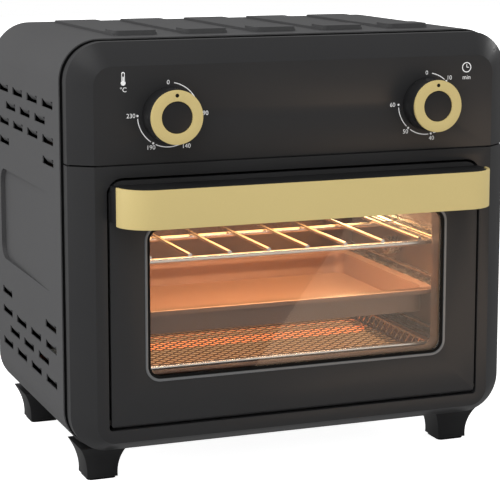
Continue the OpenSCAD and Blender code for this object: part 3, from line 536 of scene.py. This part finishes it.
@dataclass
class DialPrint:
    """A dial's printed scale on the control panel: arcs, dots, plain numbers and an icon.

    Attributes:
        name: The print's name.
        centre: X and Z of the knob's centre.
        marks: Number by clockwise angle in degrees from the top.
        unit: The unit shown beside the icon.
        icon: X and Z of the icon's centre.
        face: Depth of the panel's face.
    """

    name: str
    centre: tuple[float, float]
    marks: dict[float, str]
    unit: str
    icon: tuple[float, float]
    face: float
    radius: float = 25.6 * MM
    stroke: float = 0.75 * MM
    ink: float = 0.08 * MM
    digit: float = 5.0 * MM

    def polar(self, angle: float, radius: float, at: tuple[float, float] | None = None) -> Vector:
        """Find a point on the panel's face.

        Args:
            angle: Clockwise angle from the top, in degrees.
            radius: Distance from the centre.
            at: X and Z of the centre, or None for the knob's.

        Returns:
            The point.
        """
        x, z = at or self.centre
        a = math.radians(angle)
        return Vector((x + radius * math.sin(a), self.face, z + radius * math.cos(a)))

    def ring_part(self, shape: bmesh.types.BMesh, at: tuple[float, float], radius: float,
                  start: float, end: float) -> None:
        """Add a stroke along an arc by spinning a short edge round the centre.

        Args:
            shape: The mesh that takes it.
            at: The arc's centre.
            radius: The arc's radius.
            start: Its first clockwise angle.
            end: Its last clockwise angle.
        """
        half = self.stroke / 2
        inner = shape.verts.new(self.polar(start, radius - half, at))
        outer = shape.verts.new(self.polar(start, radius + half, at))
        edge = shape.edges.new((inner, outer))
        steps = max(4, int(abs(end - start) / 5))
        bmesh.ops.spin(shape, geom=[inner, outer, edge], cent=Vector((at[0], self.face, at[1])),
                       axis=Vector((0, 1, 0)), angle=math.radians(end - start), steps=steps,
                       use_merge=abs(end - start) >= 360)

    def dot(self, shape: bmesh.types.BMesh, at: Vector, radius: float) -> None:
        """Add a round dot facing forward.

        Args:
            shape: The mesh that takes it.
            at: The dot's centre.
            radius: Its radius.
        """
        place = Matrix.Translation(at) @ Matrix.Rotation(math.radians(90), 4, "X")
        bmesh.ops.create_circle(shape, cap_ends=True, segments=20, radius=radius, matrix=place)

    def bar(self, shape: bmesh.types.BMesh, start: Vector, end: Vector, width: float) -> None:
        """Add a flat stroke between two points on the face.

        Args:
            shape: The mesh that takes it.
            start: Middle of one end.
            end: Middle of the other end.
            width: The stroke's width.
        """
        run = end - start
        side = run.normalized().cross(Vector((0, 1, 0)))
        place = Matrix((run, side * width, Vector((0, 1, 0)))).transposed().to_4x4()
        place.translation = (start + end) / 2
        bmesh.ops.create_grid(shape, x_segments=1, y_segments=1, size=0.5, matrix=place)

    def words(self, label: str, at: Vector, size: float) -> None:
        """Print a short label as a thin raised mesh.

        Args:
            label: The text.
            at: Its centre.
            size: Its letter size.
        """
        curve = bpy.data.curves.new(f"{self.name}_type", "FONT")
        curve.body = label
        curve.size = size
        curve.align_x = "CENTER"
        curve.align_y = "CENTER"
        curve.extrude = self.ink / 2
        curve.resolution_u = 6
        holder = bpy.data.objects.new("type", curve)
        bpy.context.scene.collection.objects.link(holder)
        bpy.context.view_layer.update()
        mesh = bpy.data.meshes.new_from_object(holder.evaluated_get(
            bpy.context.evaluated_depsgraph_get()))
        bpy.data.objects.remove(holder)
        mesh.transform(Matrix.Translation(at) @ Matrix.Rotation(math.radians(90), 4, "X"))
        self.labels.append(mesh)

    def build(self) -> None:
        """Build the whole print as one piece."""
        self.labels: list[bpy.types.Mesh] = []
        shape = bmesh.new()
        angles = sorted(self.marks)
        for near, far in zip(angles, angles[1:]):
            clear = 11 if near == 0 else 5
            self.ring_part(shape, self.centre, self.radius, near + clear, far - 5)
        for angle in angles:
            if angle:
                self.dot(shape, self.polar(angle, self.radius), 0.95 * MM)
            reach = 5.4 * MM if angle in (90, 270) else 3.9 * MM
            self.words(self.marks[angle], self.polar(angle, self.radius + (reach if angle else 0)),
                       self.digit)
        self.add_icon(shape)
        bmesh.ops.recalc_face_normals(shape, faces=shape.faces)
        bmesh.ops.solidify(shape, geom=shape.faces[:] + shape.edges[:] + shape.verts[:],
                           thickness=self.ink)
        for mesh in self.labels:
            shape.from_mesh(mesh)
        bmesh.ops.recalc_face_normals(shape, faces=shape.faces)
        new_piece(self.name, shape, Look.dial_print, "oven")

    def add_icon(self, shape: bmesh.types.BMesh) -> None:
        """Draw the icon above its unit: a clock or a thermometer.

        Args:
            shape: The mesh that takes it.
        """
        x, z = self.icon
        self.words(self.unit, Vector((x, self.face, z - 8.4 * MM)), 5.2 * MM)
        if self.unit == "min":
            self.ring_part(shape, self.icon, 3.9 * MM, 0, 360)
            centre = Vector((x, self.face, z))
            self.bar(shape, centre, centre + Vector((0, 0, 2.6 * MM)), 0.6 * MM)
            self.bar(shape, centre, centre + Vector((2.1 * MM, 0, 0)), 0.6 * MM)
            return
        low = Vector((x, self.face, z - 2.9 * MM))
        self.dot(shape, low, 2.0 * MM)
        for side in (-1.1, 1.1):
            self.bar(shape, low + Vector((side * MM, 0, 1.2 * MM)),
                     low + Vector((side * MM, 0, 7.2 * MM)), 0.5 * MM)
        self.bar(shape, low, low + Vector((0, 0, 5.0 * MM)), 1.0 * MM)
        self.ring_part(shape, (x, z + 4.3 * MM), 1.1 * MM, -90, 90)


@dataclass
class BasketWeave:
    """The frying basket's mesh: crossing wires in its floor and four walls.

    Attributes:
        pitch: Distance between crossings along a wall.
        wire: Radius of a mesh wire.
        inset: Distance of the mesh from the outside of the CAD pan.
    """

    pitch: float = 10.0 * MM
    wire: float = 0.55 * MM
    inset: float = 0.7 * MM

    def lattice(self, shape: bmesh.types.BMesh, corner: Vector, along: Vector, up: Vector,
                length: float, height: float) -> None:
        """Fill a flat rectangle with two sets of slanting wires, cut at its edges.

        Args:
            shape: The mesh that takes them.
            corner: The rectangle's first corner.
            along: Unit vector along its length.
            up: Unit vector along its height.
            length: Its length.
            height: Its height.
        """
        count = int((length + height) / self.pitch) + 1
        for slant in (1, -1):
            for i in range(count + 1):
                foot = i * self.pitch - (height if slant == 1 else 0)
                ends = []
                for h in (0.0, height):
                    u = foot + slant * h
                    v = h
                    if u < 0:
                        v, u = h - slant * u, 0.0
                    if u > length:
                        v, u = h - slant * (u - length), length
                    if 0 <= v <= height:
                        ends.append(corner + along * u + up * v)
                if len(ends) == 2 and (ends[1] - ends[0]).length > 2 * self.wire:
                    rod(shape, ends[0], ends[1], self.wire, 5)

    def build(self) -> None:
        """Build the mesh inside the CAD pan's box, with a rim wire round its top and bottom."""
        low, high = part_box("basket_mesh")
        low = low + Vector((self.inset,) * 3)
        high = high - Vector((self.inset, self.inset, 1.2 * MM))
        size = high - low
        x, y, z = Vector((1, 0, 0)), Vector((0, 1, 0)), Vector((0, 0, 1))
        shape = bmesh.new()
        self.lattice(shape, low, x, y, size.x, size.y)
        for at in (low, Vector((low.x, high.y, low.z))):
            self.lattice(shape, at, x, z, size.x, size.z)
        for at in (low, Vector((high.x, low.y, low.z))):
            self.lattice(shape, at, y, z, size.y, size.z)
        for level in (low.z, high.z):
            ring = [Vector((low.x, low.y, level)), Vector((high.x, low.y, level)),
                    Vector((high.x, high.y, level)), Vector((low.x, high.y, level))]
            for a, b in zip(ring, ring[1:] + ring[:1]):
                rod(shape, a, b, 1.1 * MM, 8)
        piece = new_piece("basket_weave", shape, Look.wire_chrome, "basket")
        smooth_by_angle(piece.data, 50.0)
        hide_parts("basket_mesh")


@dataclass
class Shell:
    """The outside mouldings, door and handle, with their edges rounded."""

    moulding_edge: float = 0.9 * MM
    door_edge: float = 0.9 * MM
    band_edge: float = 0.5 * MM
    knob_edge: float = 0.9 * MM
    ring_edge: float = 0.35 * MM
    foot_edge: float = 0.9 * MM
    dot_radius: float = 1.5 * MM
    dot_reach: float = 17.2 * MM

    def build(self) -> None:
        """Replace each sharp CAD moulding with its rounded copy."""
        softened("control_panel", self.moulding_edge, Look.bezel_plastic, "oven")
        softened("door_surround", self.moulding_edge, Look.bezel_plastic, "oven")
        softened("door_panel", self.door_edge, Look.door_coat, "door")
        softened("window_trim", 0.3 * MM, Look.trim_steel, "door", 2)
        softened("handle_body", self.door_edge, Look.black_plastic, "door")
        softened("handle_band", self.band_edge, Look.satin_gold, "door")
        for knob in ("temp_knob", "time_knob"):
            softened(knob, self.knob_edge, Look.black_plastic, knob)
            softened(f"{knob}_ring", self.ring_edge, Look.satin_gold, knob, 2)
            self.pointer(knob)
        for foot in ("foot_front_left", "foot_front_right", "foot_rear_left", "foot_rear_right"):
            softened(foot, self.foot_edge, Look.black_plastic, "oven", 2)


    def pointer(self, knob: str) -> None:
        """Put the dark dot on a knob's ring that shows where it points.

        Args:
            knob: The knob's node and body name.
        """
        low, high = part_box(f"{knob}_ring")
        middle = (low + high) / 2
        shape = bmesh.new()
        place = (Matrix.Translation((middle.x, low.y + 0.25 * MM, middle.z + self.dot_reach))
                 @ Matrix.Rotation(math.radians(90), 4, "X"))
        bmesh.ops.create_cone(shape, cap_ends=True, segments=32, radius1=self.dot_radius,
                              radius2=self.dot_radius, depth=0.6 * MM, matrix=place)
        new_piece(f"{knob}_dot", shape, Look.rubber, knob)


@dataclass(frozen=True)
class Lamp:
    """A rectangular area lamp aimed at a point.

    Attributes:
        name: Its name.
        at: Its place.
        aim: The point that it faces.
        size: Its width and height.
        power: Its power in watts.
        colour: Its colour.
    """

    name: str
    at: tuple[float, float, float]
    aim: tuple[float, float, float]
    size: tuple[float, float]
    power: float
    colour: tuple[float, float, float] = (1.0, 1.0, 1.0)

    def light(self) -> None:
        """Add the lamp to the scene."""
        data = bpy.data.lights.new(self.name, "AREA")
        data.shape = "RECTANGLE"
        data.size, data.size_y = self.size
        data.energy = self.power
        data.color = self.colour
        lamp = link_new(self.name, data)
        lamp.location = self.at
        way = Vector(self.aim) - Vector(self.at)
        lamp.rotation_euler = way.to_track_quat("-Z", "Y").to_euler()
        log.info("lamp %s: %.2f W", self.name, self.power)


def link_new(name: str, data: bpy.types.ID) -> bpy.types.Object:
    """Make an object and link it to the scene.

    Args:
        name: The object's name.
        data: Its data.

    Returns:
        The new object.
    """
    made = bpy.data.objects.new(name, data)
    bpy.context.scene.collection.objects.link(made)
    return made


def stage_sheet(name: str, size: float,
                place: Matrix) -> tuple[bpy.types.Object, bpy.types.NodeTree]:
    """Lay a flat sheet that belongs to the room and not to the oven.

    Args:
        name: The sheet's name.
        size: Half its side before it is placed.
        place: The matrix that places and shears it.

    Returns:
        The sheet and its material's tree.
    """
    shape = bmesh.new()
    bmesh.ops.create_grid(shape, x_segments=1, y_segments=1, size=size, matrix=place)
    mesh = bpy.data.meshes.new(name)
    shape.to_mesh(mesh)
    shape.free()
    sheet = link_new(name, mesh)
    paint = bpy.data.materials.new(f"{name}_paint")
    paint.use_nodes = True
    paint.node_tree.nodes["Principled BSDF"].inputs["Specular IOR Level"].default_value = 0.0
    mesh.materials.append(paint)
    return sheet, paint.node_tree


@dataclass
class Studio:
    """Camera, lights, floor and background."""

    place: tuple[float, float, float] = (-0.5721, -1.4808, 0.4679)
    yaw: float = 21.064
    pitch: float = 9.149
    lens: float = 132.68
    lift: float = -0.1
    middle: tuple[float, float, float] = (0.0, 0.0, 0.2)
    key_power: float = 9.0
    side_power: float = 9.0
    streak_power: float = 4.0
    roof_power: float = 0.6
    floor_power: float = 0.07
    front_power: float = 2.6
    bulb_power: float = 0.2
    rod_field: tuple[float, float] = (0.26, 0.15)
    room: float = 0.9
    front_gleam: float = 0.03
    back_gleam: float = 0.3
    floor_lift: float = 0.92
    veil: float = 2.0
    card_near: tuple[float, float] = (0.03, -0.34)
    card_far: tuple[float, float] = (0.69, -1.46)
    card_width: float = 0.47

    def camera(self) -> None:
        """Place the camera and make it the scene's."""
        data = bpy.data.cameras.new("camera")
        data.lens = self.lens
        data.sensor_width = 36.0
        data.shift_y = self.lift
        data.clip_end = 50.0
        eye = link_new("camera", data)
        eye.location = self.place
        eye.rotation_euler = (math.radians(90 - self.pitch), 0, math.radians(-self.yaw))
        bpy.context.scene.camera = eye

    def background(self) -> None:
        """White for the camera, soft for the light it gives, and brighter behind for gloss."""
        world = bpy.data.worlds.new("room")
        bpy.context.scene.world = world
        world.use_nodes = True
        tree = world.node_tree
        ground = tree.nodes["Background"]
        ground.inputs["Color"].default_value = (1.0, 1.0, 1.0, 1.0)
        path = tree.nodes.new("ShaderNodeLightPath")
        seen = tree.nodes.new("ShaderNodeMath")
        seen.operation = "MAXIMUM"
        tree.links.new(path.outputs["Is Camera Ray"], seen.inputs[0])
        tree.links.new(path.outputs["Is Transmission Ray"], seen.inputs[1])
        way = tree.nodes.new("ShaderNodeTexCoord")
        axes = tree.nodes.new("ShaderNodeSeparateXYZ")
        tree.links.new(way.outputs["Generated"], axes.inputs[0])
        behind = tree.nodes.new("ShaderNodeMapRange")
        behind.interpolation_type = "SMOOTHSTEP"
        behind.inputs["From Min"].default_value = -0.6
        behind.inputs["From Max"].default_value = 0.6
        behind.inputs["To Min"].default_value = self.front_gleam
        behind.inputs["To Max"].default_value = self.back_gleam
        tree.links.new(axes.outputs["Y"], behind.inputs["Value"])
        gleam = tree.nodes.new("ShaderNodeMix")
        gleam.inputs["A"].default_value = self.room
        tree.links.new(path.outputs["Is Glossy Ray"], gleam.inputs["Factor"])
        tree.links.new(behind.outputs[0], gleam.inputs["B"])
        level = tree.nodes.new("ShaderNodeMix")
        level.inputs["B"].default_value = 1.0
        tree.links.new(seen.outputs[0], level.inputs["Factor"])
        tree.links.new(gleam.outputs[0], level.inputs["A"])
        tree.links.new(level.outputs[0], ground.inputs["Strength"])

    def floor(self) -> None:
        """A wide pale floor that reads white and keeps only the deepest contact shadow."""
        plane, tree = stage_sheet("floor", 6.0, Matrix.Identity(4))
        surface = tree.nodes["Principled BSDF"]
        surface.inputs["Base Color"].default_value = (0.86, 0.86, 0.86, 1.0)
        surface.inputs["Roughness"].default_value = 0.9
        surface.inputs["Emission Color"].default_value = (1.0, 1.0, 1.0, 1.0)
        path = tree.nodes.new("ShaderNodeLightPath")
        lift = tree.nodes.new("ShaderNodeMath")
        lift.operation = "MULTIPLY"
        lift.inputs[1].default_value = self.floor_lift
        tree.links.new(path.outputs["Is Camera Ray"], lift.inputs[0])
        tree.links.new(lift.outputs[0], surface.inputs["Emission Strength"])
        plane.visible_glossy = False

    def reflected_card(self) -> None:
        """A warm bright card low in front, seen only as the slanting reflection in the window."""
        near, far = Vector(self.card_near), Vector(self.card_far)
        middle = (near + far) / 2
        place = Matrix(((self.card_width, near.x - far.x, 0, middle.x + self.card_width / 2),
                        (0, near.y - far.y, 0, middle.y),
                        (0, 0, 1, 0.002),
                        (0, 0, 0, 1)))
        card, tree = stage_sheet("reflected_card", 0.5, place)
        surface = tree.nodes["Principled BSDF"]
        surface.inputs["Base Color"].default_value = (0, 0, 0, 1)
        surface.inputs["Emission Color"].default_value = (1.0, 0.72, 0.5, 1.0)
        surface.inputs["Emission Strength"].default_value = self.veil
        card.visible_camera = False
        card.visible_diffuse = False
        card.visible_shadow = False
        card.visible_transmission = False

    def room_lamps(self) -> None:
        """Light the oven from above, from the left and with a small lamp on the right."""
        Lamp("key", (-1.1, -0.5, 1.9), self.middle, (1.4, 1.4), self.key_power).light()
        Lamp("left", (-2.2, 0.3, 0.5), self.middle, (1.2, 1.2), self.side_power).light()
        Lamp("streak", (2.0, 0.2, 1.15), self.middle, (0.1, 0.5), self.streak_power).light()

    def oven_glow(self) -> None:
        """Warm light inside the oven space, from the rods, the mouth and the lamp."""
        low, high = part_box("upper_heating_rods")
        deep = (low.y + high.y) / 2
        Lamp("roof_glow", (0, deep, low.z - 0.004), (0, deep, 0), self.rod_field,
             self.roof_power, (1.0, 0.52, 0.2)).light()
        low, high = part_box("lower_heating_rods")
        Lamp("floor_glow", (0, deep, high.z + 0.001), (0, deep, 1), self.rod_field,
             self.floor_power, (1.0, 0.5, 0.2)).light()
        low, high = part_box("wire_rack")
        Lamp("front_glow", (0, low.y - 0.006, high.z + 0.052), (0, low.y + 0.03, high.z - 0.08),
             (0.27, 0.006), self.front_power, (1.0, 0.72, 0.5)).light()
        low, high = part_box("lamp_cover")
        bulb = bpy.data.lights.new("oven_lamp", "POINT")
        bulb.energy = self.bulb_power
        bulb.color = (1.0, 0.72, 0.42)
        bulb.shadow_soft_size = 0.01
        holder = link_new("oven_lamp", bulb)
        holder.location = (low.x - 0.012, (low.y + high.y) / 2, (low.z + high.z) / 2)

    def build(self) -> None:
        """Set up everything but the oven itself."""
        self.camera()
        self.background()
        self.floor()
        self.reflected_card()
        self.room_lamps()
        self.oven_glow()
        bpy.context.scene.view_settings.view_transform = "Standard"


def dress_frame() -> None:
    """Give every carried-over CAD node the finish of its slot."""
    for part in frame["record"]["subparts"]:
        Look[part["material_slot"]].on(frame["nodes"][part["node"]])


def dials() -> list[DialPrint]:
    """Place the two printed scales from the knobs and the panel.

    Returns:
        The scales.
    """
    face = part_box("control_panel")[0].y - 0.02 * MM
    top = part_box("control_panel")[1].z
    prints = []
    scales = {"temp_knob": ({0: "0", 90: "90", 150: "140", 210: "190", 270: "230"}, "°C"),
              "time_knob": ({0: "0", 45: "10", 170: "40", 220: "50", 270: "60"}, "min")}
    for knob, (marks, unit) in scales.items():
        low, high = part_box(knob)
        centre = (low + high) / 2
        side = math.copysign(1.0, centre.x)
        prints.append(DialPrint(f"{knob}_scale", (centre.x, centre.z), marks, unit,
                                (centre.x + side * 37 * MM, top - 28.5 * MM), face))
    return prints


def main() -> None:
    """Build the looks in order."""
    logging.basicConfig(level=logging.INFO)
    Studio().build()
    dress_frame()
    Shell().build()
    BasketWeave().build()
    for dial in dials():
        dial.build()


if __name__ == "__main__":
    main()
